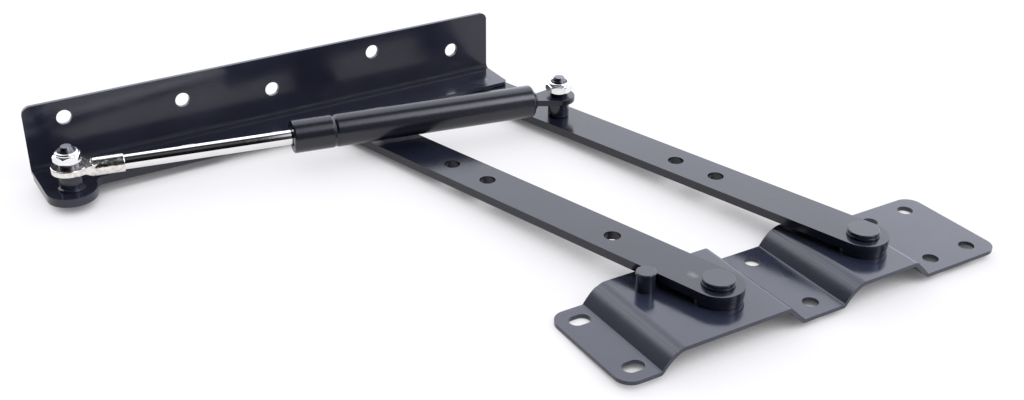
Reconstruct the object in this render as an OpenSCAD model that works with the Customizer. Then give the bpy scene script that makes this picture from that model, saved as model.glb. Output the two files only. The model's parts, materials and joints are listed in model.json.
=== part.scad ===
// Pneumatic lift for a table top: two parallel arms between a base plate and a top bracket,
// opened by a gas spring. Millimetres, +Z up, origin on the underside of the base plate,
// midway between the two valley holes. The arms are drawn open, against the stop pin.

/* [Base plate] */
// Thickness of the base plate's sheet
base_t = 2; // [1.5:0.1:2.5]
// Depth of the base plate across the plateaus
base_w = 62; // [56:1:80]
// Radius of the base plate's four corners
base_corner_r = 8; // [3:0.5:12]
// Height of the plateaus' tops above the floor
plateau_h = 11; // [9:0.5:14]
// Length of the left foot, up to its fold
left_foot_l = 19.7; // [18:0.1:30]
// Length of the front plateau, which carries the stop pin
front_plateau_l = 62.4; // [60:0.2:70]
// Length of the rear plateau
rear_plateau_l = 35.8; // [33:0.2:40]
// Length of the right foot, from its fold
right_foot_l = 49.6; // [46:0.2:60]
// Width of the flat valley between the plateaus
valley_w = 25.2; // [20:0.2:28]
// Horizontal run of each ramp
ramp_run = 9; // [8:0.1:10]
// Bend radius of the folds, on the sheet's middle
fold_r = 2.2; // [1.8:0.1:3]
// Bend radius of the soft crests, on the sheet's middle
soft_crest_r = 8; // [5:0.5:9]
// Diameter of the screw holes
screw_hole_d = 8; // [5:0.5:9]
// Spacing of the screw holes across the plate
screw_spacing_y = 42; // [36:1:44]
// Spacing of the right foot's screw holes along the plate
screw_spacing_x = 25; // [18:0.5:28]
// Distance from the right end of the plate to its nearest screw holes
right_hole_inset = 12.8; // [9:0.2:14]
// Length of the left foot's slots
slot_l = 11; // [9:0.5:12]
// Distance from the left end of the plate to the slots' centres
slot_inset = 11.2; // [10:0.2:13]

/* [Arms] */
// Distance between the two pivots of an arm
arm_pitch = 259; // [240:1:300]
// Width of an arm
arm_w = 25; // [22:0.5:28]
// Thickness of an arm
arm_t = 4.5; // [3.5:0.1:6]
// Diameter of the spare holes in an arm
arm_hole_d = 8.5; // [6:0.5:10]
// Distance between the two arms' pivots
pivot_pitch = 89; // [86:0.5:92]
// Offset of the base pivots towards the near edge of the plate
pivot_offset = 6.3; // [3:0.1:8]
// Angle of the open arms from the length of the base plate
open_angle = 106; // [104:0.5:108]

/* [Pivots] */
// Diameter of the rivets' shanks
rivet_d = 8; // [6:0.5:9]
// Diameter of the base rivets' heads
head_d = 15.3; // [13:0.1:17]
// Thickness of the base rivets' heads
head_t = 1.7; // [1.2:0.1:2.5]
// Thickness of the washers under the base rivets' heads
washer_t = 1.1; // [0.8:0.1:2]
// Diameter of the spacers under the arms
spacer_d = 20; // [16:0.5:24]
// Thickness of the spacers under the arms
spacer_t = 2.9; // [2:0.1:5]
// Diameter of the flush heads in the top bracket
flush_head_d = 12; // [10:0.5:13]
// Thickness of the washers between the arms and the bracket
top_washer_t = 0.4; // [0.3:0.1:1]
// Diameter of the stop pin
stop_pin_d = 9.2; // [7:0.2:10]
// Place of the stop pin along the front arm, from its base pivot
stop_pin_along = 28.1; // [25:0.5:31]
// Height of the stop pin above the plateau
stop_pin_h = 9.8; // [8:0.2:12]

/* [Top bracket] */
// Length of the bracket
bracket_l = 273; // [262:1:300]
// Thickness of the bracket's sheet
bracket_t = 2; // [1.5:0.1:2.5]
// Height of the upright above the flange's underside
upright_h = 37; // [36:0.5:45]
// Distance from the top pivots to the upright's near face
upright_reach = 15.7; // [14:0.1:20]
// Distance from the top pivots to the flange's near edge
flange_reach = 9.7; // [8:0.1:11]
// Distance from the rear top pivot to the bracket's right end
right_margin = 13.5; // [12:0.1:16]
// Height of the down-turned lip round the tongue
lip_h = 4.5; // [3.5:0.1:5]
// Length of the lip, from the bracket's left end
lip_l = 96; // [60:1:100]
// Radius of the tongue round the gas spring's stud
tongue_r = 13.4; // [12:0.1:15]
// Distance from the line of the top pivots to the gas spring's stud
stud_offset = 13.8; // [11:0.1:16]
// Diameter of the holes in the upright
rail_hole_d = 8; // [5:0.5:9]

/* [Gas spring] */
// Outer diameter of the tube
tube_d = 18; // [17:0.5:18.5]
// Wall of the tube
tube_wall = 1.5; // [1:0.1:2]
// Length of the tube
tube_l = 136.9; // [130:0.5:142]
// Diameter of the piston rod
rod_d = 8; // [6:0.5:9]
// Outer diameter of the two eyelets
eye_d = 18; // [16:0.5:20]
// Thickness of the two eyelets
eye_t = 3.4; // [3:0.1:5]
// Height of the rod's eyelet above the rod's axis
eye_lift = 1.2; // [0:0.1:1.4]
// Outer diameter of the bushes in the eyelets
bush_d = 10; // [9.5:0.1:12]
// Height of the bushes above the eyelets
bush_rise = 2.5; // [0.5:0.1:4]
// Diameter of the crimped sleeve on the rod's end
sleeve_d = 9.8; // [9.6:0.1:12]
// Distance from the tube's end to the centre of its eyelet
tail_l = 16.6; // [15:0.2:20]

/* [Studs and nuts] */
// Diameter of the studs that hold the gas spring
stud_d = 8; // [6:0.5:8]
// Height of the spacer on the bracket's stud
bracket_spacer_h = 9.2; // [8:0.1:10]
// Height of the spacer on the arm's stud
arm_spacer_h = 9.2; // [8:0.1:10]
// Diameter of the black spacers on the studs
stud_spacer_d = 11.9; // [10:0.1:13]
// Width across the flats of the lock nuts
nut_flats = 13; // [11:0.5:15]
// Height of the lock nuts
nut_h = 5.5; // [5:0.1:8]
// Length of stud that shows above a nut
stud_tip = 2.5; // [2:0.1:4]

/* [Hidden] */
$fn = 96;
// Radial clearance of a shank or shaft in its hole
fit = 0.05;
// Axial play at a pivot
play = 0.1;
// Gap between pieces that swing past each other
gap = 0.3;
// Cutters run past the faces that they cut by this much
over = 1;

// Base plate stations along X
sheet_mid = base_t / 2;
rise = plateau_h - base_t;
valley_x = valley_w / 2;
rear_crest_x = valley_x + ramp_run;
rear_fall_x = rear_crest_x + rear_plateau_l;
right_fold_x = rear_fall_x + ramp_run;
base_x1 = right_fold_x + right_foot_l;
front_crest_x = -valley_x - ramp_run;
front_fall_x = front_crest_x - front_plateau_l;
left_fold_x = front_fall_x - ramp_run;
base_x0 = left_fold_x - left_foot_l;

// Heights of the stack at the pivots
arm_z = plateau_h + spacer_t + play;
arm_top = arm_z + arm_t;
flange_z = arm_top + play + top_washer_t;
flange_top = flange_z + bracket_t;
bracket_eye_z = flange_top + bracket_spacer_h + play;
arm_eye_z = arm_top + arm_spacer_h + play;
// The gas spring leans down from the bracket's stud to the arm's
rod_axis_z = bracket_eye_z + eye_t / 2 - eye_lift;
spring_drop = rod_axis_z - arm_eye_z - eye_t / 2;
nut_rise = eye_t + bush_rise + play;

// Pivots in plan
arm_dir = [cos(open_angle), sin(open_angle)];
arm_side = [-sin(open_angle), cos(open_angle)];
front_base = [-pivot_pitch / 2, -pivot_offset];
rear_base = [pivot_pitch / 2, -pivot_offset];
front_top = front_base + arm_pitch * arm_dir;
rear_top = rear_base + arm_pitch * arm_dir;
// Spare holes of the bar, from its first pivot; the rear arm is the bar turned end for end
arm_holes = [62.3, 145.8, 171.8];
stud_along = arm_pitch - arm_holes[0];
stop_pin_side = arm_w / 2 + gap + stop_pin_d / 2;
stop_pin_at = front_base + stop_pin_along * arm_dir + stop_pin_side * arm_side;

// Bracket outline, from the rear top pivot
bracket_x1 = right_margin;
bracket_x0 = bracket_x1 - bracket_l;
tongue_at = [bracket_x0 + tongue_r, -stud_offset];
bracket_bend_r = bracket_t * 1.8;
// Holes of the upright: distance from the left end, and height above the flange's underside;
// the last two keep their places from the right end
rail_holes = [[20.9, 27.4], [83.8, 22.9], [135, 17.9], [bracket_l - 75.8, 27.4], [bracket_l - 24.2, 17.9]];

// Gas spring: s runs along its axis from the rod's eyelet
rod_eye_at = rear_top + tongue_at;
tube_eye_at = rear_base + stud_along * arm_dir;
spring_run = tube_eye_at - rod_eye_at;
spring_l = norm([spring_run.x, spring_run.y, spring_drop]);
spring_angle = atan2(spring_run.y, spring_run.x);
spring_lean = asin(spring_drop / spring_l);
tube_s1 = spring_l - tail_l;
tube_s0 = tube_s1 - tube_l;
bore_r = tube_d / 2 - tube_wall;
end_wall = 1;
guide_l = 16;
seal_l = 5;
piston_l = 9;
piston_ring_l = 2.5;
plug_l = 7;
guide_s = tube_s0 + end_wall;
seal_s = guide_s + guide_l;
groove_s = seal_s + seal_l + 0.8;
groove_depth = 0.6;
piston_gap = 8;
piston_s = groove_s + piston_gap;
plug_s = tube_s1 - end_wall - plug_l;
sleeve_s0 = eye_d / 2 + 2.5;
sleeve_l = 15.5;
rod_s0 = sleeve_s0 + 3;
rod_s1 = piston_s + piston_l;

navy = [0.13, 0.14, 0.18];
black = [0.07, 0.07, 0.08];
zinc = [0.80, 0.81, 0.83];
chrome = [0.88, 0.88, 0.90];
nylon = [0.20, 0.20, 0.22];

function unit(v) = v / norm(v);
function xy(p) = [p[0], p[1]];

// Points of the arc that rounds corner b, between its neighbours a and c, to b's radius b[2].
// The arc is moved off to the left of the path by off, about the same centre.
function corner_arc(a, b, c, off) =
    let (u = unit(xy(a) - xy(b)),
         v = unit(xy(c) - xy(b)),
         half = acos(u * v) / 2,
         centre = xy(b) + unit(u + v) * b[2] / sin(half),
         side = sign(cross(-u, v)),
         start = xy(b) + u * b[2] / tan(half) - centre,
         first = atan2(start.y, start.x),
         sweep = side * (180 - 2 * half),
         steps = max(2, ceil(abs(sweep) / 7.5)))
    [for (i = [0:steps])
        let (angle = first + sweep * i / steps)
        centre + (b[2] - side * off) * [cos(angle), sin(angle)]];

// Closed outline through corners [x, y, radius], counter-clockwise, drawn in by inset
function outline(corners, inset = 0) =
    let (n = len(corners))
    [for (i = [0:n - 1])
        each corner_arc(corners[(i + n - 1) % n], corners[i], corners[(i + 1) % n], inset)];

// One side of an open path through corners [x, y, radius], off to its left
function path_side(path, off) =
    let (last = len(path) - 1,
         a = unit(xy(path[1]) - xy(path[0])),
         b = unit(xy(path[last]) - xy(path[last - 1])))
    concat([xy(path[0]) + off * [-a.y, a.x]],
        [for (i = [1:last - 1]) each corner_arc(path[i - 1], path[i], path[i + 1], off)],
        [xy(path[last]) + off * [-b.y, b.x]]);

// Section of a bent sheet of thickness t whose middle follows the path
function sheet_section(path, t) =
    let (far = path_side(path, -t / 2), n = len(far))
    concat(path_side(path, t / 2), [for (i = [n - 1:-1:0]) far[i]]);

// Rectangle from p to q with corners of radius r
function rectangle(p, q, r) = [[p.x, p.y, r], [q.x, p.y, r], [q.x, q.y, r], [p.x, q.y, r]];

module hole(at, d, z0, z1) {
    translate([at.x, at.y, z0]) cylinder(d = d, h = z1 - z0);
}

module slot(at, d, l, z0, z1) {
    reach = (l - d) / 2;
    hole(at - [reach, 0], d, z0, z1);
    hole(at + [reach, 0], d, z0, z1);
    translate([at.x - reach, at.y - d / 2, z0]) cube([2 * reach, d, z1 - z0]);
}

// Round piece on a vertical axis, from corners [radius, height, rounding]
module turned(at, corners) {
    translate([at.x, at.y, 0]) rotate_extrude() polygon(outline(corners));
}

// Ring or washer with edges rounded to r
module ring(at, d_out, d_in, z0, t, r) {
    turned(at, rectangle([d_in / 2, z0], [d_out / 2, z0 + t], r));
}

// The gas spring's own frame: s along X from the rod's eyelet, its axis at height 0
module on_spring() {
    translate([rod_eye_at.x, rod_eye_at.y, rod_axis_z])
        rotate([0, spring_lean, spring_angle]) children();
}

// Piece turned about the gas spring's axis, from corners [s, radius, rounding]
module turned_on_spring(corners) {
    on_spring() rotate([0, 90, 0]) rotate_extrude()
        polygon(outline([for (c = corners) [c[1], c[0], c[2]]]));
}

module base_plate() {
    middle = plateau_h - sheet_mid;
    section = sheet_section([
        [base_x0, sheet_mid, 0],
        [left_fold_x, sheet_mid, fold_r],
        [front_fall_x, middle, soft_crest_r],
        [front_crest_x, middle, fold_r],
        [-valley_x, sheet_mid, fold_r],
        [valley_x, sheet_mid, fold_r],
        [rear_crest_x, middle, soft_crest_r],
        [rear_fall_x, middle, fold_r],
        [right_fold_x, sheet_mid, fold_r],
        [base_x1, sheet_mid, 0]], base_t);
    top = plateau_h + over;
    half_w = base_w / 2;
    row_y = screw_spacing_y / 2;
    foot_x = base_x1 - right_hole_inset;
    color(navy) difference() {
        intersection() {
            translate([0, half_w, 0]) rotate([90, 0, 0]) linear_extrude(base_w) polygon(section);
            translate([0, 0, -over]) linear_extrude(top + over)
                polygon(outline(rectangle([base_x0, -half_w], [base_x1, half_w], base_corner_r)));
        }
        for (y = [-row_y, row_y]) {
            for (x = [0, foot_x - screw_spacing_x, foot_x]) hole([x, y], screw_hole_d, -over, top);
            slot([base_x0 + slot_inset, y], screw_hole_d, slot_l, -over, top);
        }
        for (at = [front_base, rear_base]) hole(at, rivet_d + 2 * fit, -over, top);
        hole(stop_pin_at, stop_tail_d + 2 * fit, -over, top);
    }
}

// Rivet of a base pivot: a flat head on top, a shank, and a closed tail under the plateau
tail_d = rivet_d * 1.5;
tail_h = 1.6;
base_head_z = arm_top + play + washer_t;
module base_rivet(at) {
    shank_r = rivet_d / 2;
    under = plateau_h - base_t;
    color(navy) turned(at, [
        [0, under - tail_h, 0.01],
        [tail_d / 2, under - tail_h, 0.9],
        [tail_d / 2, under, 0.2],
        [shank_r, under, 0.05],
        [shank_r, base_head_z, 0.05],
        [head_d / 2, base_head_z, 0.3],
        [head_d / 2, base_head_z + head_t, 0.45],
        [0, base_head_z + head_t, 0.01]]);
}

module base_spacer(at) {
    color(black) ring(at, spacer_d, rivet_d + 2 * fit, plateau_h, spacer_t, 0.3);
}

module base_washer(at) {
    color(navy) ring(at, head_d + 0.8, rivet_d + 2 * fit, arm_top + play, washer_t, 0.25);
}

stop_tail_d = stop_pin_d * 0.65;
stop_head_h = 1.6;
module stop_pin() {
    r = stop_pin_d / 2;
    under = plateau_h - base_t;
    head_z = plateau_h + stop_pin_h - stop_head_h;
    color(navy) turned(stop_pin_at, [
        [0, under - tail_h, 0.01],
        [r, under - tail_h, 0.8],
        [r, under, 0.2],
        [stop_tail_d / 2, under, 0.05],
        [stop_tail_d / 2, plateau_h, 0.05],
        [r, plateau_h, 0.2],
        [r, head_z, 0.1],
        [r + gap, head_z + 0.2, 0.1],
        [r + gap, plateau_h + stop_pin_h, 0.6],
        [0, plateau_h + stop_pin_h, 0.01]]);
}

// Flat bar from pivot p along the open direction, with its holes at the given distances
module arm(p, holes) {
    bore_d = rivet_d + 2 * fit;
    color(navy) difference() {
        translate([p.x, p.y, arm_z]) rotate([0, 0, open_angle]) {
            cylinder(d = arm_w, h = arm_t);
            translate([arm_pitch, 0, 0]) cylinder(d = arm_w, h = arm_t);
            translate([0, -arm_w / 2, 0]) cube([arm_pitch, arm_w, arm_t]);
        }
        for (s = [0, arm_pitch]) hole(p + s * arm_dir, bore_d, arm_z - over, arm_top + over);
        for (s = holes) hole(p + s * arm_dir, arm_hole_d, arm_z - over, arm_top + over);
    }
}

module front_arm() {
    arm(front_base, arm_holes);
}

module rear_arm() {
    arm(rear_base, [for (s = arm_holes) arm_pitch - s]);
}

// Riveted foot of the arm's stud: it fills the hole and is closed under the arm
module arm_stud_foot() {
    r = arm_hole_d / 2 - fit;
    color(navy) turned(tube_eye_at, [
        [0, arm_z - tail_h, 0.01],
        [tail_d / 2, arm_z - tail_h, 0.9],
        [tail_d / 2, arm_z, 0.2],
        [r, arm_z, 0.05],
        [r, arm_top, 0.3],
        [0, arm_top, 0.01]]);
}

// Flange outline from the rear top pivot: plain rectangle with the tongue at its left end
tongue_fillet_r = 5;
function flange_corners() =
    let (near = -flange_reach, far = upright_reach + bracket_t,
         tip = tongue_at.y - tongue_r, side = tongue_at.x + tongue_r - 1.2)
    [[bracket_x0, tip, tongue_r - 0.7],
     [side, tip, tongue_r - 0.7],
     [side, near, tongue_fillet_r],
     [bracket_x1, near, 3],
     [bracket_x1, far, 0.3],
     [bracket_x0, far, 2.5]];

module bracket_frame() {
    translate([rear_top.x, rear_top.y, flange_z]) children();
}

module top_bracket() {
    near = tongue_at.y - tongue_r - over;
    mid_y = upright_reach + bracket_t / 2;
    angle_path = [[near, bracket_t / 2, 0], [mid_y, bracket_t / 2, bracket_bend_r], [mid_y, upright_h, 0]];
    far = upright_reach + bracket_t + over;
    pivots = [[0, 0], [-pivot_pitch, 0]];
    color(navy) bracket_frame() difference() {
        union() {
            intersection() {
                translate([bracket_x0, 0, 0]) rotate([90, 0, 90]) linear_extrude(bracket_l)
                    polygon(sheet_section(angle_path, bracket_t));
                translate([0, 0, -over]) linear_extrude(upright_h + 2 * over)
                    polygon(outline(flange_corners()));
                translate([0, far, 0]) rotate([90, 0, 0]) linear_extrude(far - near)
                    polygon(outline([[bracket_x0, -over, 0.2], [bracket_x1, -over, 0.2],
                        [bracket_x1, upright_h, 4], [bracket_x0, upright_h, 5]]));
            }
            intersection() {
                translate([0, 0, bracket_t - lip_h]) linear_extrude(lip_h - bracket_t / 2) difference() {
                    polygon(outline(flange_corners()));
                    polygon(outline(flange_corners(), bracket_t));
                }
                translate([bracket_x0 - over, near, -lip_h])
                    cube([lip_l + over, upright_reach - near - bracket_bend_r, 2 * lip_h]);
            }
        }
        for (p = pivots) {
            hole(p, flush_head_d + 2 * fit, bracket_t - flush_head_t, bracket_t + over);
            hole(p, rivet_d + 2 * fit, -over, bracket_t + over);
        }
        hole(tongue_at, stud_d + 2 * fit, -over, bracket_t + over);
        for (h = rail_holes) translate([bracket_x0 + h.x, 0, h.y]) rotate([-90, 0, 0])
            cylinder(d = rail_hole_d, h = far);
    }
}

// Rivet of a top pivot: a low head let into the flange, and a closed tail under the arm
flush_head_t = 1.2;
flush_crown = 0.25;
module top_rivet(at) {
    r = rivet_d / 2;
    color(navy) turned(at, [
        [0, arm_z - play - tail_h, 0.01],
        [tail_d / 2 + 0.5, arm_z - play - tail_h, 0.9],
        [tail_d / 2 + 0.5, arm_z - play, 0.2],
        [r, arm_z - play, 0.05],
        [r, flange_top - flush_head_t, 0.05],
        [flush_head_d / 2, flange_top - flush_head_t, 0.1],
        [flush_head_d / 2, flange_top, 0.2],
        [0, flange_top + flush_crown, 0.01]]);
}

module top_washer(at) {
    color(black) ring(at, spacer_d, rivet_d + 2 * fit, arm_top + play, top_washer_t, 0.05);
}

// Threaded stud with a rounded tip, from z0 up through the eyelet at eye_z and its nut
module stud(at, corners_below, z0, eye_z) {
    r = stud_d / 2;
    tip = eye_z + nut_rise + nut_h + stud_tip;
    color(zinc) turned(at, concat(corners_below, [
        [r, z0, 0.05],
        [r, tip - 1.8, 0.3],
        [r - 0.9, tip - 0.6, 0.4],
        [r - 1.8, tip, 0.3],
        [0, tip, 0.01]]));
}

module bracket_stud() {
    stud(rod_eye_at, [
        [0, flange_z - tail_h, 0.01],
        [tail_d / 2, flange_z - tail_h, 0.9],
        [tail_d / 2, flange_z, 0.2]], flange_z, bracket_eye_z);
}

module bracket_stud_spacer() {
    foot_r = stud_spacer_d / 2 + 1;
    color(black) difference() {
        turned(rod_eye_at, [
            [0, flange_top, 0.01],
            [foot_r, flange_top, 0.1],
            [foot_r, flange_top + 0.9, 0.5],
            [stud_spacer_d / 2, flange_top + 1.3, 0.3],
            [stud_spacer_d / 2, flange_top + bracket_spacer_h, 0.4],
            [0, flange_top + bracket_spacer_h, 0.01]]);
        hole(rod_eye_at, stud_d + 2 * fit, flange_top - over, bracket_eye_z + over);
    }
}

// Lock nut above the eyelet at eye_z, turned about its axis by turn: a chamfered hexagon
// with a round collar that holds the insert
collar_h = 1.5;
bracket_nut_turn = -1;
arm_nut_turn = 25;
module lock_nut(at, eye_z, turn) {
    across = nut_flats / cos(30);
    hex_h = nut_h - collar_h;
    collar_d = nut_flats - 1;
    z = eye_z + nut_rise;
    color(zinc) difference() {
        union() {
            intersection() {
                translate([at.x, at.y, z]) rotate([0, 0, turn]) cylinder(d = across, h = hex_h, $fn = 6);
                turned(at, [
                    [0, z, 0.01],
                    [nut_flats / 2, z, 0.1],
                    [across / 2 + 0.05, z + 0.8, 0.1],
                    [across / 2 + 0.05, z + hex_h - 0.9, 0.1],
                    [nut_flats / 2 - 0.1, z + hex_h, 0.1],
                    [0, z + hex_h, 0.01]]);
            }
            turned(at, [
                [0, z + 1, 0.01],
                [collar_d / 2, z + 1, 0.05],
                [collar_d / 2, z + nut_h, 1],
                [0, z + nut_h, 0.01]]);
        }
        hole(at, stud_d + 2 * fit, z - over, z + nut_h + over);
        hole(at, insert_d + 2 * fit, z + nut_h - insert_h, z + nut_h + over);
    }
}

insert_d = stud_d + 1.6;
insert_h = 1.6;
module nut_insert(at, eye_z) {
    z = eye_z + nut_rise + nut_h - insert_h;
    color(nylon) ring(at, insert_d, stud_d + 2 * fit, z, insert_h - 0.4, 0.15);
}

// Eyelet plate at distance s, lifted off the axis, with a neck that narrows to neck_w at neck_s
module eyelet(s, neck_s, neck_w, lift) {
    r = eye_d / 2;
    reach = abs(neck_s - s);
    tangent = atan2(neck_w / 2, reach) + acos(r / norm([reach, neck_w / 2]));
    shoulder = r * [cos(tangent), sin(tangent)];
    on_spring() translate([s, 0, lift - eye_t / 2]) rotate([0, 0, neck_s > s ? 0 : 180]) difference() {
        union() {
            rotate_extrude() polygon(outline([[0, 0, 0.01], [r, 0, 0.5], [r, eye_t, 0.5], [0, eye_t, 0.01]]));
            linear_extrude(eye_t) polygon([[0, 0], [shoulder.x, -shoulder.y],
                [reach, -neck_w / 2], [reach, neck_w / 2], shoulder]);
        }
        translate([0, 0, -over]) cylinder(d = bush_d + 2 * fit, h = eye_t + 2 * over);
    }
}

sleeve_neck_w = 7.8;
module rod_eyelet() {
    color(chrome) difference() {
        union() {
            eyelet(0, rod_s0 - 0.5, sleeve_neck_w, eye_lift);
            turned_on_spring([
                [sleeve_s0, 0, 0.01],
                [sleeve_s0 + sleeve_l, 0, 0.01],
                [sleeve_s0 + sleeve_l, sleeve_d / 2, 0.4],
                [sleeve_s0, sleeve_d / 2, 0.4]]);
        }
        turned_on_spring([
            [rod_s0, 0, 0.01],
            [sleeve_s0 + sleeve_l + over, 0, 0.01],
            [sleeve_s0 + sleeve_l + over, rod_d / 2 + fit, 0.01],
            [rod_s0, rod_d / 2 + fit, 0.01]]);
    }
}

module eye_bush(at, eye_z) {
    color(black) ring(at, bush_d, stud_d + 2 * fit, eye_z, eye_t + bush_rise, 0.3);
}

boss_l = 2.2;
boss_r = 5.2;
module tube_eyelet() {
    color(black) union() {
        eyelet(spring_l, tube_s1 + 0.7, boss_r * 1.5, 0);
        turned_on_spring([
            [tube_s1, 0, 0.01],
            [tube_s1 + boss_l, 0, 0.01],
            [tube_s1 + boss_l, boss_r, 0.9],
            [tube_s1, boss_r, 0.1]]);
    }
}

module piston_rod() {
    color(chrome) turned_on_spring([
        [rod_s0, 0, 0.01],
        [rod_s1, 0, 0.01],
        [rod_s1, rod_d / 2, 0.5],
        [rod_s0, rod_d / 2, 0.5]]);
}

// Piston on the rod, with a groove for its ring
piston_r = bore_r - 0.4;
ring_s = piston_s + (piston_l - piston_ring_l) / 2;
ring_depth = 1.2;
module piston() {
    color(zinc) turned_on_spring([
        [piston_s, rod_d / 2 + fit, 0.1],
        [rod_s1 - 0.6, rod_d / 2 + fit, 0.1],
        [rod_s1 - 0.6, piston_r, 0.5],
        [ring_s + piston_ring_l, piston_r, 0.1],
        [ring_s + piston_ring_l, piston_r - ring_depth, 0.1],
        [ring_s, piston_r - ring_depth, 0.1],
        [ring_s, piston_r, 0.1],
        [piston_s, piston_r, 0.5]]);
}

module piston_ring() {
    color(nylon) turned_on_spring([
        [ring_s + fit, piston_r - ring_depth + fit, 0.1],
        [ring_s + piston_ring_l - fit, piston_r - ring_depth + fit, 0.1],
        [ring_s + piston_ring_l - fit, bore_r - fit, 0.2],
        [ring_s + fit, bore_r - fit, 0.2]]);
}

module gas_tube() {
    r = tube_d / 2;
    mouth_r = rod_d / 2 + 0.8;
    color(black) turned_on_spring([
        [tube_s0, mouth_r, 0.2],
        [guide_s, mouth_r, 0.2],
        [guide_s, bore_r, 0.1],
        [tube_s1 - end_wall, bore_r, 0.1],
        [tube_s1 - end_wall, mouth_r, 0.2],
        [tube_s1, mouth_r, 0.2],
        [tube_s1, r, 1.5],
        [groove_s + 1.3, r, 0.6],
        [groove_s, r - groove_depth, 0.5],
        [groove_s - 1.3, r, 0.6],
        [tube_s0, r, 1]]);
}

module packing(s0, l, r_in, r_out) {
    turned_on_spring([[s0, r_in, 0.3], [s0 + l, r_in, 0.3], [s0 + l, r_out, 0.3], [s0, r_out, 0.3]]);
}

module rod_guide() {
    color(zinc) packing(guide_s, guide_l, rod_d / 2 + fit, bore_r - fit);
}

module rod_seal() {
    color(nylon) packing(seal_s, seal_l, rod_d / 2 + fit, bore_r - fit);
}

module end_plug() {
    color(zinc) turned_on_spring([
        [plug_s, 0, 0.01],
        [plug_s + plug_l, 0, 0.01],
        [plug_s + plug_l, bore_r - fit, 0.3],
        [plug_s, bore_r - fit, 0.3]]);
}

// The arm's stud stands just above the riveted foot and swings with the gas spring
arm_stud_z = arm_top + gap;
module arm_stud() {
    stud(tube_eye_at, [[0, arm_stud_z, 0.01]], arm_stud_z, arm_eye_z);
}

module arm_stud_spacer() {
    color(black) ring(tube_eye_at, stud_spacer_d, stud_d + 2 * fit, arm_stud_z,
        arm_eye_z - arm_stud_z - play, 0.3);
}

base_plate();
base_rivet(front_base);  // front_base_rivet
base_rivet(rear_base);  // rear_base_rivet
base_spacer(front_base);  // front_base_spacer
base_spacer(rear_base);  // rear_base_spacer
base_washer(front_base);  // front_base_washer
base_washer(rear_base);  // rear_base_washer
stop_pin();
front_arm();
rear_arm();
arm_stud_foot();
top_bracket();
top_rivet(front_top);  // front_top_rivet
top_rivet(rear_top);  // rear_top_rivet
top_washer(front_top);  // front_top_washer
top_washer(rear_top);  // rear_top_washer
bracket_stud();
bracket_stud_spacer();
lock_nut(rod_eye_at, bracket_eye_z, bracket_nut_turn);  // bracket_stud_nut
nut_insert(rod_eye_at, bracket_eye_z);  // bracket_nut_insert
rod_eyelet();
eye_bush(rod_eye_at, bracket_eye_z);  // rod_eye_bush
piston_rod();
piston();
piston_ring();
gas_tube();
rod_guide();
rod_seal();
end_plug();
tube_eyelet();
eye_bush(tube_eye_at, arm_eye_z);  // tube_eye_bush
arm_stud();
arm_stud_spacer();
lock_nut(tube_eye_at, arm_eye_z, arm_nut_turn);  // arm_stud_nut
nut_insert(tube_eye_at, arm_eye_z);  // arm_nut_insert
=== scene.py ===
"""Looks of the pneumatic table lift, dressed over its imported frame. Metres, +Z up."""
import json
import math

import bmesh
import bpy
from mathutils import Matrix, Vector


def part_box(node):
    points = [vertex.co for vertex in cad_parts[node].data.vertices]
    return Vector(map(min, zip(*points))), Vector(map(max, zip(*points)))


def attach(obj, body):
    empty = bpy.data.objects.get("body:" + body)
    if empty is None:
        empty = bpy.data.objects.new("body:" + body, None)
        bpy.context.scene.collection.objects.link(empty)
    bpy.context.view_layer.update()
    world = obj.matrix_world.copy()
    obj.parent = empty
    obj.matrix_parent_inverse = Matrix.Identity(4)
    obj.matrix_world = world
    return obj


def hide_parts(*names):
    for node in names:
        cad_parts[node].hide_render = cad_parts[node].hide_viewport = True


MM = 0.001

# Camera, as the photograph was taken, with its angles in degrees
CAMERA_AT = Vector((-399.8, -410.3, 349.2)) * MM
CAMERA_YAW = 31.24
CAMERA_DOWN = 28.58
CAMERA_ROLL = 0.47
CAMERA_NEAR = 0.01
CAMERA_FAR = 50
SENSOR_WIDTH = 36.0
FOCAL_PIXELS = 1369.5
PHOTO_WIDTH = 1024


def make_camera():
    """The photograph's view: yaw from +Y towards +X, tilt below the horizon, and a slight roll."""
    yaw, down, roll = (math.radians(a) for a in (CAMERA_YAW, CAMERA_DOWN, CAMERA_ROLL))
    ahead = Vector((math.sin(yaw) * math.cos(down), math.cos(yaw) * math.cos(down), -math.sin(down)))
    level = Vector((math.cos(yaw), -math.sin(yaw), 0))
    above = level.cross(ahead)
    right = math.cos(roll) * level + math.sin(roll) * above
    up = -math.sin(roll) * level + math.cos(roll) * above
    data = bpy.data.cameras.new("camera")
    data.sensor_width = SENSOR_WIDTH
    data.lens = FOCAL_PIXELS * SENSOR_WIDTH / PHOTO_WIDTH
    data.clip_start = CAMERA_NEAR
    data.clip_end = CAMERA_FAR
    camera = bpy.data.objects.new("camera", data)
    bpy.context.scene.collection.objects.link(camera)
    turn = Matrix((right, up, -ahead)).transposed()
    camera.matrix_world = Matrix.Translation(CAMERA_AT) @ turn.to_4x4()
    bpy.context.scene.camera = camera


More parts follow.
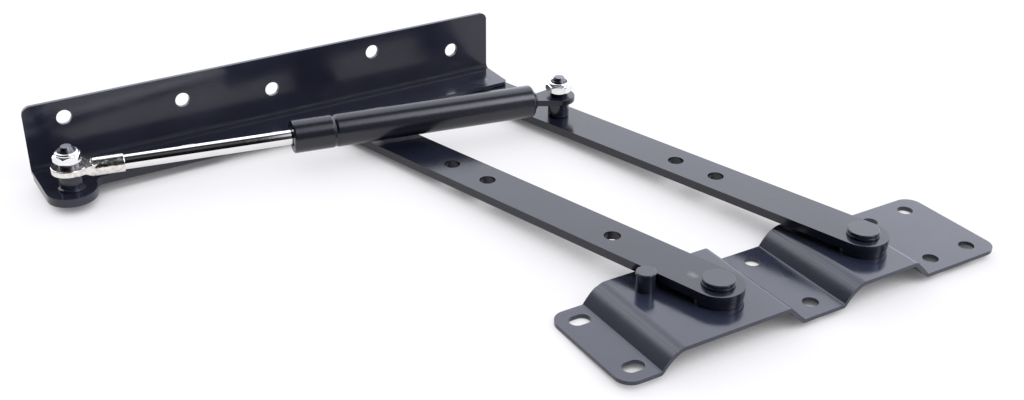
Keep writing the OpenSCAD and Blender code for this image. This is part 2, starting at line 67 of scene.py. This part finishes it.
class Shader:
    """Small helper that adds and joins shader nodes."""

    def __init__(self, tree):
        self.tree = tree
        self.tree.nodes.clear()

    def add(self, kind, **values):
        node = self.tree.nodes.new(kind)
        for name, value in values.items():
            setattr(node, name, value)
        return node

    def join(self, start, end):
        self.tree.links.new(start, end)

    def math(self, operation, first, second):
        node = self.add("ShaderNodeMath", operation=operation)
        for socket, value in zip(node.inputs, (first, second)):
            if isinstance(value, (int, float)):
                socket.default_value = value
            else:
                self.join(value, socket)
        return node.outputs[0]

    def dot(self, vector, axis):
        node = self.add("ShaderNodeVectorMath", operation="DOT_PRODUCT")
        self.join(vector, node.inputs[0])
        node.inputs[1].default_value = axis
        return node.outputs["Value"]

    def ramp(self, factor, stops):
        """A number or colour by stops of place and value, with values up to 1."""
        node = self.add("ShaderNodeValToRGB")
        elements = node.color_ramp.elements
        while len(elements) > 1:
            elements.remove(elements[-1])
        for i, (place, value) in enumerate(stops):
            e = elements[0] if i == 0 else elements.new(place)
            e.position = place
            e.color = (value, value, value, 1) if isinstance(value, (int, float)) else (*value, 1)
        self.join(factor, node.inputs[0])
        return node.outputs[0]

    def curve(self, factor, stops):
        """As ramp, for numbers that pass 1: the ramp holds each one's share of the highest."""
        peak = max(value for _, value in stops)
        share = self.ramp(factor, [(place, value / peak) for place, value in stops])
        return self.math("MULTIPLY", share, peak)

    def mix(self, share, first, second):
        node = self.add("ShaderNodeMixShader")
        for socket, value in zip(node.inputs, (share, first, second)):
            self.join(value, socket)
        return node.outputs[0]


# Studio light by the angle in degrees over the object, from the camera's horizon to the far one
BANDS = ((0, 0.10), (44, 0.08), (53, 1.0), (74, 1.0), (86, 0.10), (100, 0.12), (113, 2.2), (180, 2.3))
HALF_TURN = 180
# Up to this angle the bands are the overhead panel's, and from there on the far band's
PANEL_END = 93
# Both also change along this direction, the bracket's length, from -1 to 1
ALONG_BRACKET = (0.985, -0.172, 0)
# The overhead panel has a soft start, grows towards +X, and fades before it glares from behind
PANEL = ((0.165, 0.08), (0.205, 2.2), (0.26, 2.8), (0.34, 6.0), (0.5, 8.0), (0.66, 8.0), (0.76, 1.2))
# The far band ends in a soft border towards -X
FAR_BAND = (
    (-1, 0.12), (-0.66, 0.30), (-0.54, 1.35), (-0.2, 1.35),
    (-0.05, 0.95), (0.1, 0.90), (0.32, 0.93), (1, 1.35),
)
STUDIO_TINT = (0.95, 0.97, 1.06)


def make_world():
    """A white studio: to the camera it is plain white, and it lights the object in broad soft bands."""
    world = bpy.data.worlds.new("studio")
    bpy.context.scene.world = world
    world.use_nodes = True
    s = Shader(world.node_tree)
    yaw = math.radians(CAMERA_YAW)
    direction = s.add("ShaderNodeTexCoord").outputs["Generated"]
    toward = s.dot(direction, (-math.sin(yaw), -math.cos(yaw), 0))
    along = s.dot(direction, ALONG_BRACKET)
    height = s.dot(direction, (0, 0, 1))
    share = s.math("DIVIDE", s.math("ARCTAN2", height, toward), math.pi)
    level = s.curve(share, [(angle / HALF_TURN, value) for angle, value in BANDS])
    panel = s.curve(along, PANEL)
    sideways = s.math("MULTIPLY", s.math("ADD", along, 1), 0.5)
    far = s.curve(sideways, [((place + 1) / 2, value) for place, value in FAR_BAND])
    gain = s.add("ShaderNodeMix", data_type="FLOAT")
    s.join(s.math("LESS_THAN", share, PANEL_END / HALF_TURN), gain.inputs[0])
    s.join(far, gain.inputs[2])
    s.join(panel, gain.inputs[3])
    light = s.add("ShaderNodeBackground")
    light.inputs["Color"].default_value = (*STUDIO_TINT, 1)
    s.join(s.math("MULTIPLY", level, gain.outputs[0]), light.inputs["Strength"])
    white = s.add("ShaderNodeBackground")
    white.inputs["Color"].default_value = (1, 1, 1, 1)
    to_camera = s.add("ShaderNodeLightPath").outputs["Is Camera Ray"]
    seen = s.mix(to_camera, light.outputs[0], white.outputs[0])
    s.join(seen, s.add("ShaderNodeOutputWorld").inputs["Surface"])


# The mechanism rests on the base plate's far edge and, higher up, under the bracket
REST_EDGE_Y = 31 * MM
BRACKET_REST_Y = 243 * MM
BRACKET_REST_Z = 12.3 * MM
FLOOR_DROP = 0.2 * MM
FLOOR_SIZE = 30
FLOOR_COLOUR = (0.875, 0.87, 0.89)
# To the camera and in reflections the floor is a pale glow over a dark colour
FLOOR_SEEN_COLOUR = (0.06, 0.06, 0.06)
FLOOR_GLOW_TINT = (0.975, 0.966, 1.0)
# The glow is dimmed by how open the floor is within this reach, a painted shadow: pale beside the arms,
# deep under the plate
FLOOR_SHADE_REACH = 60 * MM
FLOOR_SHADE_SAMPLES = 16
FLOOR_SHADES = ((0, 0.03), (0.1, 0.10), (0.2, 0.27), (0.35, 0.62), (0.6, 0.84), (1, 1))


def make_floor():
    """A white table top under the mechanism, which rests tipped on it. To the camera and in reflections its
    shadow is painted into its glow.
    """
    slope = math.atan(BRACKET_REST_Z / (BRACKET_REST_Y - REST_EDGE_Y))
    place = (0, REST_EDGE_Y, -FLOOR_DROP)
    bpy.ops.mesh.primitive_plane_add(size=FLOOR_SIZE, location=place, rotation=(slope, 0, 0))
    floor = bpy.context.object
    floor.name = "floor"
    material = bpy.data.materials.new("floor_white")
    material.use_nodes = True
    s = Shader(material.node_tree)
    plain = s.add("ShaderNodeBsdfDiffuse")
    plain.inputs["Color"].default_value = (*FLOOR_COLOUR, 1)
    dark = s.add("ShaderNodeBsdfDiffuse")
    dark.inputs["Color"].default_value = (*FLOOR_SEEN_COLOUR, 1)
    # Painted shadow: the glow falls where the floor is closed in by the mechanism
    openness = s.add("ShaderNodeAmbientOcclusion", samples=FLOOR_SHADE_SAMPLES)
    openness.inputs["Distance"].default_value = FLOOR_SHADE_REACH
    glow = s.add("ShaderNodeEmission")
    glow.inputs["Color"].default_value = (*FLOOR_GLOW_TINT, 1)
    s.join(s.ramp(openness.outputs["AO"], FLOOR_SHADES), glow.inputs["Strength"])
    glowing = s.add("ShaderNodeAddShader")
    s.join(dark.outputs[0], glowing.inputs[0])
    s.join(glow.outputs[0], glowing.inputs[1])
    path = s.add("ShaderNodeLightPath")
    seen = s.math("MAXIMUM", path.outputs["Is Camera Ray"], path.outputs["Is Glossy Ray"])
    seen = s.math("MAXIMUM", seen, path.outputs["Is Transmission Ray"])
    surface = s.mix(seen, plain.outputs[0], glowing.outputs[0])
    s.join(surface, s.add("ShaderNodeOutputMaterial").inputs["Surface"])
    floor.data.materials.append(material)


def new_material(name):
    material = bpy.data.materials.new(name)
    material.use_nodes = True
    s = Shader(material.node_tree)
    bsdf = s.add("ShaderNodeBsdfPrincipled")
    s.join(bsdf.outputs[0], s.add("ShaderNodeOutputMaterial").inputs["Surface"])
    return material, s, bsdf


# Each noise in grains per metre, with its detail
COAT_MOTTLE = (35, 2)
COAT_SHEEN = (90, 4)
COAT_PEEL = (420, 1)
PALE_SPOT_NOISE = (500, 3)
METAL_MOTTLE = (120, 3)
METAL_SHEEN = (300, 3)
CRIMP_MOTTLE = (450, 4)
CRIMP_SHEEN = (600, 4)
CRIMP_DENTS = (350, 3)
PLASTIC_MOTTLE = (200, 2)
PLASTIC_GRAIN = (1500, 2)
# Depth of the bumps
PEEL_DEPTH = 0.4 * MM
DENT_DEPTH = 0.4 * MM
PLASTIC_GRAIN_DEPTH = 0.2 * MM
# Strength of the bumps
DENT_STRENGTH = 0.35
PLASTIC_GRAIN_STRENGTH = 0.1


def grain(s, noise):
    """Noise over the object's own coordinates."""
    scale, detail = noise
    node = s.add("ShaderNodeTexNoise")
    s.join(s.add("ShaderNodeTexCoord").outputs["Object"], node.inputs["Vector"])
    node.inputs["Scale"].default_value = scale
    node.inputs["Detail"].default_value = detail
    return node.outputs["Fac"]


def vary(s, value, noise, stops):
    """A colour or number that wanders with a noise. Each stop is a place in it and a share of the value."""
    def scaled(share):
        return tuple(part * share for part in value) if isinstance(value, tuple) else value * share
    return s.ramp(grain(s, noise), [(place, scaled(share)) for place, share in stops])


def bump(s, bsdf, noise, strength, depth):
    node = s.add("ShaderNodeBump")
    node.inputs["Strength"].default_value = strength
    node.inputs["Distance"].default_value = depth
    s.join(grain(s, noise), node.inputs["Height"])
    s.join(node.outputs[0], bsdf.inputs["Normal"])


# A pale spot painted on top of the front arm, beside its base rivet
PALE_SPOT_AT = Vector((-50.3, 5.2, 18.5)) * MM
PALE_SPOT_REACH = Vector((4.2, 6.5, 2.5)) * MM
PALE_SPOT_COLOUR = (0.17, 0.17, 0.19)
PALE_SPOT_RAGGEDNESS = 0.8
PALE_SPOT_FADE = ((0.35, 1), (1.0, 0))


def pale_spot_mask(s):
    """1 in the middle of the pale spot, falling to 0 at its ragged rim."""
    mapping = s.add("ShaderNodeMapping", vector_type="TEXTURE")
    s.join(s.add("ShaderNodeTexCoord").outputs["Object"], mapping.inputs["Vector"])
    mapping.inputs["Location"].default_value = PALE_SPOT_AT
    mapping.inputs["Scale"].default_value = PALE_SPOT_REACH
    far = s.add("ShaderNodeVectorMath", operation="LENGTH")
    s.join(mapping.outputs[0], far.inputs[0])
    ragged = s.math("MULTIPLY", grain(s, PALE_SPOT_NOISE), PALE_SPOT_RAGGEDNESS)
    return s.ramp(s.math("ADD", far.outputs["Value"], ragged), PALE_SPOT_FADE)


def paint(name, colour, rough, wander=0.2, peel=0.05, ior=1.55, pale_spot=False):
    """Baked enamel: a slight orange peel, and a roughness that wanders a little."""
    material, s, bsdf = new_material(name)
    bsdf.inputs["IOR"].default_value = ior
    coat = vary(s, colour, COAT_MOTTLE, ((0.3, 0.85), (0.7, 1.15)))
    if pale_spot:
        spotted = s.add("ShaderNodeMixRGB")
        s.join(pale_spot_mask(s), spotted.inputs["Fac"])
        s.join(coat, spotted.inputs["Color1"])
        spotted.inputs["Color2"].default_value = (*PALE_SPOT_COLOUR, 1)
        coat = spotted.outputs["Color"]
    s.join(coat, bsdf.inputs["Base Color"])
    sheen = vary(s, rough, COAT_SHEEN, ((0.3, 1 - wander), (0.7, 1 + wander)))
    s.join(sheen, bsdf.inputs["Roughness"])
    bump(s, bsdf, COAT_PEEL, peel, PEEL_DEPTH)
    return material


def metal(name, colour, rough):
    material, s, bsdf = new_material(name)
    bsdf.inputs["Metallic"].default_value = 1.0
    s.join(vary(s, colour, METAL_MOTTLE, ((0.25, 0.9), (0.75, 1))), bsdf.inputs["Base Color"])
    s.join(vary(s, rough, METAL_SHEEN, ((0.3, 0.7), (0.7, 1.3))), bsdf.inputs["Roughness"])
    return material


def crimped(name, colour, rough):
    """Bright plating over a pressed end: it is warmer, duller in patches, and slightly dented."""
    material, s, bsdf = new_material(name)
    bsdf.inputs["Metallic"].default_value = 1.0
    s.join(vary(s, colour, CRIMP_MOTTLE, ((0.3, 0.75), (0.6, 1))), bsdf.inputs["Base Color"])
    s.join(vary(s, rough, CRIMP_SHEEN, ((0.3, 0.5), (0.7, 2))), bsdf.inputs["Roughness"])
    bump(s, bsdf, CRIMP_DENTS, DENT_STRENGTH, DENT_DEPTH)
    return material


def plastic(name, colour, rough):
    material, s, bsdf = new_material(name)
    s.join(vary(s, colour, PLASTIC_MOTTLE, ((0.3, 0.8), (0.7, 1.2))), bsdf.inputs["Base Color"])
    bsdf.inputs["Roughness"].default_value = rough
    bump(s, bsdf, PLASTIC_GRAIN, PLASTIC_GRAIN_STRENGTH, PLASTIC_GRAIN_DEPTH)
    return material


NAVY = (0.019, 0.0205, 0.035)
BAR_NAVY = (0.013, 0.015, 0.027)


def make_materials():
    return {
        "navy_paint": paint("navy_paint", NAVY, 0.17),
        "navy_angle": paint("navy_angle", NAVY, 0.17, ior=1.50),
        "navy_bar": paint("navy_bar", BAR_NAVY, 0.17, ior=1.50),
        "navy_spotted_bar": paint("navy_spotted_bar", BAR_NAVY, 0.17, ior=1.50, pale_spot=True),
        "navy_plate": paint("navy_plate", (0.025, 0.029, 0.049), 0.17),
        # Darker than the navy: painted shade on the rounded edges and in the angle's inner bend
        "navy_edge_shade": paint("navy_edge_shade", (0.009, 0.010, 0.019), 0.5, ior=1.28),
        "tube_paint": paint("tube_paint", (0.008, 0.009, 0.016), 0.23, wander=0.08, peel=0.04),
        "black_fitting": paint("black_fitting", (0.010, 0.012, 0.024), 0.22, ior=1.45),
        # Lighter than the black fitting: a painted highlight along its rims
        "black_edge_highlight": paint("black_edge_highlight", (0.030, 0.030, 0.038), 0.3),
        "chrome_rod": metal("chrome_rod", (0.88, 0.87, 0.86), 0.06),
        "eyelet_chrome": crimped("eyelet_chrome", (0.84, 0.81, 0.76), 0.13),
        "bright_zinc": metal("bright_zinc", (0.90, 0.90, 0.90), 0.16),
        "dark_steel": metal("dark_steel", (0.15, 0.15, 0.165), 0.32),
        "turned_steel": metal("turned_steel", (0.55, 0.55, 0.56), 0.25),
        "black_plastic": plastic("black_plastic", (0.012, 0.012, 0.016), 0.35),
        "nylon": plastic("nylon", (0.03, 0.03, 0.035), 0.4),
        "seal_rubber": plastic("seal_rubber", (0.012, 0.012, 0.012), 0.5),
    }


# These pieces differ a little from the rest of their slot
OWN_MATERIALS = {
    "front_arm": "navy_spotted_bar",
    "rear_arm": "navy_bar",
    "top_bracket": "navy_angle",
    "rod_eyelet": "eyelet_chrome",
    "rod_eye_bush": "dark_steel",
    "tube_eye_bush": "black_fitting",
}
# Rounding of the edges in millimetres
EDGE_ROUNDING = {
    "base_plate": 0.4,
    "top_bracket": 0.9,
    "front_arm": 0.5,
    "rear_arm": 0.5,
    "stop_pin": 0.4,
    "front_base_rivet": 0.35,
    "rear_base_rivet": 0.35,
    "bracket_stud_nut": 0.2,
    "arm_stud_nut": 0.2,
    "rod_eyelet": 0.25,
    "tube_eyelet": 0.25,
}
EDGE_SEGMENTS = 2
SHARP_EDGE = math.radians(32)
# The coat is duller on these rounded edges. Its colour is darker on the navy ones, a painted shade, and
# lighter on the black fittings' ones, a painted highlight
EDGE_MATERIALS = {"navy_paint": "navy_edge_shade", "black_fitting": "black_edge_highlight"}
# A face of the angle's inner bend leans this far both ways
BEND_LEAN = 0.2


def smooth(node, rounding):
    """Smooth shading up to the sharp edges, which get a fine rounding in millimetres."""
    node.data.polygons.foreach_set("use_smooth", [True] * len(node.data.polygons))
    if rounding:
        bevel = node.modifiers.new("edges", "BEVEL")
        bevel.width = rounding * MM
        bevel.segments = EDGE_SEGMENTS
        bevel.limit_method = "ANGLE"
        bevel.angle_limit = SHARP_EDGE
        bevel.harden_normals = True
        bevel.material = len(node.data.materials) - 1
    else:
        split = node.modifiers.new("edges", "EDGE_SPLIT")
        split.split_angle = SHARP_EDGE


def shade_bend(node):
    """The angle's inner bend takes the darker, rougher edge coat: painted shade in the bend."""
    for face in node.data.polygons:
        if face.normal.y < -BEND_LEAN and face.normal.z > BEND_LEAN:
            face.material_index = 1


def dress_nodes(frame, materials):
    """Each CAD node takes its record slot's material, smooth faces, and a fine rounding of its edges."""
    slots = {p["node"]: p["material_slot"] for p in frame["record"]["subparts"]}
    for name, node in frame["nodes"].items():
        slot = slots[name]
        node.data.materials.clear()
        node.data.materials.append(materials[OWN_MATERIALS.get(name, slot)])
        # The edge coat's colour is painted shade on navy edges and a painted highlight on black ones
        if name in EDGE_ROUNDING and slot in EDGE_MATERIALS:
            node.data.materials.append(materials[EDGE_MATERIALS[slot]])
        if name == "top_bracket":
            shade_bend(node)
        smooth(node, EDGE_ROUNDING.get(name, 0))


def new_piece(name, mesh, materials):
    piece = bpy.data.objects.new(name, mesh)
    bpy.context.scene.collection.objects.link(piece)
    mesh.materials.clear()
    for material in materials:
        mesh.materials.append(material)
    return piece


# The ramps that face -X, each from its fold up to its plateau, as the CAD draws them
SHEET_T = 2 * MM
RAMP_FOLDS = (-93 * MM, 12.6 * MM)
RAMP_RISE = 9 * MM
RAMP_CREST_R = 8 * MM
RAMP_SLOPE = math.radians(45)
RAMP_L = RAMP_RISE + RAMP_CREST_R * math.tan(RAMP_SLOPE / 2)
# The pressed ramp falls from its crest by this power of the distance
RAMP_POWER = 2.0
RAMP_STEPS = 40
# A vertex this near to the drawn upper face is put on the pressed one, and the others follow it
NEAR_TOP = 0.3 * MM
# Distance of a cut along each long edge of the plate, so that its rounding shades only a narrow strip
RIM_STRIP = 1.2 * MM


def drawn_height(run):
    """Height of the CAD's straight ramp with its round crest, at a run from its fold."""
    back = RAMP_L - run
    if back < RAMP_CREST_R * math.sin(RAMP_SLOPE):
        return SHEET_T + RAMP_RISE - RAMP_CREST_R + math.sqrt(RAMP_CREST_R ** 2 - back ** 2)
    return SHEET_T + run


def pressed_height(run):
    """Height of the bowed ramp, at a run from its fold."""
    back = RAMP_L - run
    return SHEET_T + RAMP_RISE * (1 - (back / RAMP_L) ** RAMP_POWER)


def add_base(frame, materials):
    """The base plate as it is pressed: its ramps are bowed, and run softly into the plateaus."""
    mesh = frame["nodes"]["base_plate"].data.copy()
    bm = bmesh.new()
    bm.from_mesh(mesh)
    low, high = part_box("base_plate")
    cuts = [((0, y, 0), (0, 1, 0)) for y in (low.y + RIM_STRIP, high.y - RIM_STRIP)]
    for fold in RAMP_FOLDS:
        cuts += [((fold + RAMP_L * step / RAMP_STEPS, 0, 0), (1, 0, 0)) for step in range(1, RAMP_STEPS)]
    for place, normal in cuts:
        everything = bm.verts[:] + bm.edges[:] + bm.faces[:]
        bmesh.ops.bisect_plane(bm, geom=everything, plane_co=place, plane_no=normal)
    for fold in RAMP_FOLDS:
        for vert in bm.verts:
            run = vert.co.x - fold
            if 0 < run < RAMP_L:
                drawn = drawn_height(run)
                pressed = pressed_height(run)
                on_top = abs(vert.co.z - drawn) < NEAR_TOP
                vert.co.z = pressed if on_top else vert.co.z + pressed - drawn
    bm.to_mesh(mesh)
    bm.free()
    piece = new_piece("base_plate_pressed", mesh, (materials["navy_plate"], materials["navy_edge_shade"]))
    smooth(piece, EDGE_ROUNDING["base_plate"])
    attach(piece, "base")
    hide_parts("base_plate")


# The spacers of the base pivots reach the arms' rims
SPACER_WIDENING = 1.21


def add_spacers(frame, materials):
    for node in ("front_base_spacer", "rear_base_spacer"):
        mesh = frame["nodes"][node].data.copy()
        centre = sum(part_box(node), Vector()) / 2
        for vert in mesh.vertices:
            vert.co.x = centre.x + (vert.co.x - centre.x) * SPACER_WIDENING
            vert.co.y = centre.y + (vert.co.y - centre.y) * SPACER_WIDENING
        piece = new_piece(node + "_wide", mesh, (materials["navy_paint"],))
        smooth(piece, 0)
        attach(piece, "base")
        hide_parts(node)


def make_loft(name, rings):
    """The mesh of a closed body through rings of points, which all have the same number of them."""
    bm = bmesh.new()
    circles = [[bm.verts.new(point) for point in ring] for ring in rings]
    for near, far in zip(circles, circles[1:]):
        for column, vert in enumerate(near):
            beside = (column + 1) % len(near)
            bm.faces.new((vert, near[beside], far[beside], far[column]))
    bm.faces.new(list(reversed(circles[0])))
    bm.faces.new(circles[-1])
    bmesh.ops.recalc_face_normals(bm, faces=bm.faces)
    mesh = bpy.data.meshes.new(name)
    bm.to_mesh(mesh)
    bm.free()
    return mesh


# Screw thread of the two studs, and the riveted foot under one of them
STUD_R = 4 * MM
STUD_TIP_L = 2.4 * MM
STUD_TIP_DROP = 1.3 * MM
THREAD_PITCH = 1.25 * MM
THREAD_DEPTH = 0.55 * MM
THREAD_ROWS_PER_TURN = 8
THREAD_COLUMNS = 48
RIVETED_FOOT_H = 1.6 * MM
FOOT_ROUNDING = 0.9 * MM
FOOT_STEPS = 4


def stud_radius(height, foot_top, tip, turn):
    """Radius of a threaded stud at a height and a share of a turn round its axis."""
    phase = ((height - foot_top) / THREAD_PITCH - turn) % 1
    groove = THREAD_DEPTH * (1 - abs(2 * phase - 1))
    start = tip - STUD_TIP_L
    bevel = STUD_TIP_DROP * max(0, (height - start) / STUD_TIP_L)
    return min(STUD_R - groove, STUD_R - bevel)


def foot_profile(bottom, top, radius):
    """Heights and radii of the riveted foot, from its rounded lower edge up."""
    profile = []
    for step in range(FOOT_STEPS + 1):
        angle = math.radians(90 * step / FOOT_STEPS)
        height = bottom + FOOT_ROUNDING * (1 - math.cos(angle))
        profile.append((height, radius - FOOT_ROUNDING * (1 - math.sin(angle))))
    return profile + [(top, radius)]


def make_threaded_stud(node, has_foot):
    """The mesh of a CAD node's stud with its screw thread cut, and its riveted foot where it has one."""
    low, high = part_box(node)
    middle_x = (low.x + high.x) / 2
    middle_y = (low.y + high.y) / 2
    foot_top = low.z + (RIVETED_FOOT_H if has_foot else 0)
    length = high.z - foot_top
    rows = int(length / THREAD_PITCH * THREAD_ROWS_PER_TURN)
    profile = foot_profile(low.z, foot_top, (high.x - low.x) / 2) if has_foot else []
    profile += [(foot_top + length * row / rows, None) for row in range(rows + 1)]
    rings = []
    for height, radius in profile:
        ring = []
        for column in range(THREAD_COLUMNS):
            turn = column / THREAD_COLUMNS
            r = stud_radius(height, foot_top, high.z, turn) if radius is None else radius
            angle = 2 * math.pi * turn
            ring.append((middle_x + r * math.cos(angle), middle_y + r * math.sin(angle), height))
        rings.append(ring)
    return make_loft(node + "_thread", rings)


def add_studs(materials):
    for node, body in (("bracket_stud", "bracket"), ("arm_stud", "gas_tube")):
        mesh = make_threaded_stud(node, has_foot=body == "bracket")
        piece = new_piece(node + "_thread", mesh, (materials["dark_steel"],))
        smooth(piece, 0)
        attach(piece, body)
        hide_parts(node)


# The eyelet's neck is pressed out of the sleeve: along the gas spring, from the eyelet's centre
ROD_AXIS_Z = 30.8 * MM
TAIL_AXIS_Z = 29.5 * MM
SLEEVE_R = 4.9 * MM
SLEEVE_START = 11.5 * MM
SLEEVE_OVERLAP = 0.3 * MM
NECK_START = 4.6 * MM
PLATE_LOW = -0.5 * MM
PLATE_HIGH = 2.9 * MM
SHOULDER_L = 1.1 * MM
NECK_HALF_W = 7.2 * MM
NECK_RINGS = 18
NECK_COLUMNS = 48
# Power of the section's outline: squarish at the plate, round at the sleeve
PLATE_POWER = 5
SLEEVE_POWER = 2


def ease(t):
    t = min(1, max(0, t))
    return t * t * (3 - 2 * t)


def signed_power(value, power):
    return math.copysign(abs(value) ** power, value)


def make_neck(centre, along, across):
    """Loft from the flat plate of the rod's eyelet up to the sleeve's round end."""
    up = along.cross(across)
    end = SLEEVE_START + SLEEVE_OVERLAP
    rings = []
    for step in range(NECK_RINGS + 1):
        reach = NECK_START + (end - NECK_START) * step / NECK_RINGS
        share = (reach - NECK_START) / (SLEEVE_START - NECK_START)
        low = PLATE_LOW + (-SLEEVE_R - PLATE_LOW) * ease(share)
        shoulder = (reach - SLEEVE_START + SHOULDER_L) / SHOULDER_L
        high = PLATE_HIGH + (SLEEVE_R - PLATE_HIGH) * ease(shoulder)
        wide = max(NECK_HALF_W + (SLEEVE_R - NECK_HALF_W) * share, SLEEVE_R)
        power = 2 / (PLATE_POWER + (SLEEVE_POWER - PLATE_POWER) * ease(share))
        ring = []
        for column in range(NECK_COLUMNS):
            angle = 2 * math.pi * column / NECK_COLUMNS
            aside = wide * signed_power(math.cos(angle), power)
            above = (high - low) / 2 * signed_power(math.sin(angle), power) + (high + low) / 2
            ring.append(centre + along * reach + across * aside + up * above)
        rings.append(ring)
    return make_loft("rod_eyelet_neck", rings)


def add_neck(materials):
    """The gas spring's axis runs between the middles of its two bushes, lowered to the rod's height."""
    near, far = (sum(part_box(node), Vector()) / 2 for node in ("rod_eye_bush", "tube_eye_bush"))
    near.z = ROD_AXIS_Z
    far.z = TAIL_AXIS_Z
    along = (far - near).normalized()
    across = Vector((0, 0, 1)).cross(along).normalized()
    piece = new_piece("rod_eyelet_neck", make_neck(near, along, across), (materials["eyelet_chrome"],))
    smooth(piece, 0)
    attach(piece, "gas_rod")


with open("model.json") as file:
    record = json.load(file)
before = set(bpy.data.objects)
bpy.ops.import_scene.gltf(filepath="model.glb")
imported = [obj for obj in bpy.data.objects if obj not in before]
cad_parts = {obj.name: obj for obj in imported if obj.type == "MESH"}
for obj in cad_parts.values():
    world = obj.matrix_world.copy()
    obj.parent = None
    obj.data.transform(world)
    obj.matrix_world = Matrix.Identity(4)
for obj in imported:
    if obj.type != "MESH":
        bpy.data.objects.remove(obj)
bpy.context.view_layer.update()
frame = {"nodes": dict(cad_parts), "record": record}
make_camera()
make_world()
make_floor()
bpy.context.scene.view_settings.view_transform = "Standard"
materials = make_materials()
dress_nodes(frame, materials)
add_base(frame, materials)
add_spacers(frame, materials)
add_studs(materials)
add_neck(materials)
